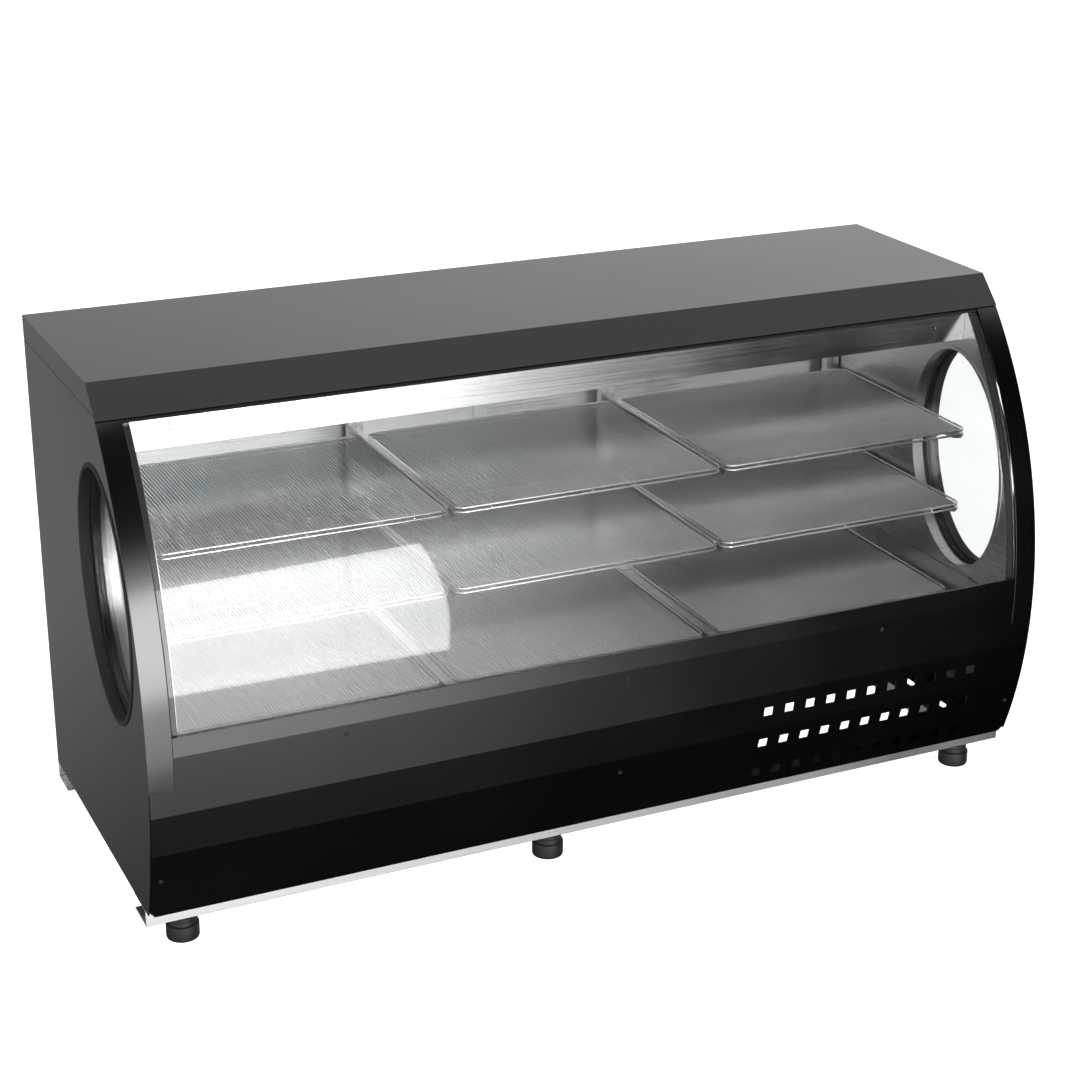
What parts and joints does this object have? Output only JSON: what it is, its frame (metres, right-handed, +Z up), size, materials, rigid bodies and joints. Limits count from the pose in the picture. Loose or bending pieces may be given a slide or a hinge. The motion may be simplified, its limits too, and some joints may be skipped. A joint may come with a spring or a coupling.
{
  "type": "hot food display case",
  "caption": "Counter-top heated display case with a bowed glass front, oval side windows, wire racks and sliding rear doors, for keeping cooked food warm and in view.",
  "frame": {"origin": "on the surface the feet stand on, at the centre of the case's length and depth", "axes": "+X to the customer's right along the length, the bowed glass front faces -Y, +Z up"},
  "size_m": [1.503, 0.5879, 0.835],
  "materials": {
    "black_paint": "semi-gloss black powder coat",
    "stainless": "fine satin stainless",
    "polished_stainless": "bright polished stainless",
    "galvanised_steel": "dull galvanised",
    "bowed_glass": "clear bent glass",
    "window_glass": "clear flat glass",
    "black_rubber": "matt black rubber",
    "chrome_wire": "bright chromed wire",
    "satin_aluminium": "satin anodised",
    "black_plastic": "fine-grained black plastic",
    "heater_sheath": "oxidised heater sheath",
    "zinc_steel": "zinc plated",
    "lamp_glass": "frosted white lamp glass"
  },
  "bodies": {
    "case": {"base_frame": "stainless", "cable_gland": "black_plastic", "ceiling_liner": "stainless", "control_box": "galvanised_steel", "control_plate": "stainless", "control_switchgear": "black_plastic", "deck": "stainless", "deck_racks": "chrome_wire", "door_header": "satin_aluminium", "door_sill": "satin_aluminium", "fan_frames": "black_plastic", "feet": "black_rubber", "foot_studs": "zinc_steel", "front_glass": "bowed_glass", "front_panel": "black_paint", "glass_bottom_channel": "satin_aluminium", "glass_side_seals": "black_rubber", "glass_top_channel": "black_plastic", "heater_tray": "galvanised_steel", "heating_elements": "heater_sheath", "hood_cap": "black_paint", "lamp_holders": "black_plastic", "lamp_housing": "polished_stainless", "lamp_tubes": "lamp_glass", "panel_screws": "zinc_steel", "porthole_gasket_left": "black_rubber", "porthole_gasket_right": "black_rubber", "porthole_panes_left": "window_glass", "porthole_panes_right": "window_glass", "porthole_sleeve_left": "stainless", "porthole_sleeve_right": "stainless", "porthole_trim_left": "black_paint", "porthole_trim_right": "black_paint", "rack_middle_centre": "chrome_wire", "rack_middle_left": "chrome_wire", "rack_middle_right": "chrome_wire", "rack_top_centre": "chrome_wire", "rack_top_left": "chrome_wire", "rack_top_right": "chrome_wire", "rear_panel_service": "black_paint", "rear_panel_vented": "black_paint", "rear_posts": "stainless", "shelf_brackets": "stainless", "side_liner_left": "stainless", "side_liner_right": "stainless", "side_shell_left": "black_paint", "side_shell_right": "black_paint", "uprights": "stainless"},
    "door_left": {"door_frame_left": "satin_aluminium", "door_panel_left": "stainless", "door_pull_left": "black_plastic"},
    "door_right": {"door_frame_right": "satin_aluminium", "door_panel_right": "stainless", "door_pull_right": "black_plastic"},
    "thermostat": {"thermostat_knob": "black_plastic"},
    "heat_rocker": {"heat_switch_rocker": "black_plastic"},
    "light_rocker": {"light_switch_rocker": "black_plastic"},
    "fan_left": {"fan_rotor_left": "black_plastic"},
    "fan_right": {"fan_rotor_right": "black_plastic"},
    "water_pan": {"water_drawer": "stainless"}
  },
  "joints": [
    {"name": "door_left_slide", "type": "slide", "parent": "case", "child": "door_left", "axis": [1, 0, 0], "range_m": [0, 0.68]},
    {"name": "door_right_slide", "type": "slide", "parent": "case", "child": "door_right", "axis": [1, 0, 0], "range_m": [-0.68, 0]},
    {"name": "thermostat_turn", "type": "hinge", "parent": "case", "child": "thermostat", "pos_m": [0.44, 0.266, 0.168], "axis": [0, 1, 0], "range_deg": [0, 270]},
    {"name": "heat_switch_rock", "type": "hinge", "parent": "case", "child": "heat_rocker", "pos_m": [0.51, 0.265, 0.168], "axis": [1, 0, 0], "range_deg": [-16, 0]},
    {"name": "light_switch_rock", "type": "hinge", "parent": "case", "child": "light_rocker", "pos_m": [0.56, 0.265, 0.168], "axis": [1, 0, 0], "range_deg": [-16, 0]},
    {"name": "fan_left_spin", "type": "hinge", "parent": "case", "child": "fan_left", "pos_m": [-0.41, 0.12, 0.25], "axis": [0, 0, 1], "continuous": true},
    {"name": "fan_right_spin", "type": "hinge", "parent": "case", "child": "fan_right", "pos_m": [0.41, 0.12, 0.25], "axis": [0, 0, 1], "continuous": true},
    {"name": "water_pan_slide", "type": "slide", "parent": "case", "child": "water_pan", "axis": [0, 1, 0], "range_m": [0, 0.22]}
  ]
}
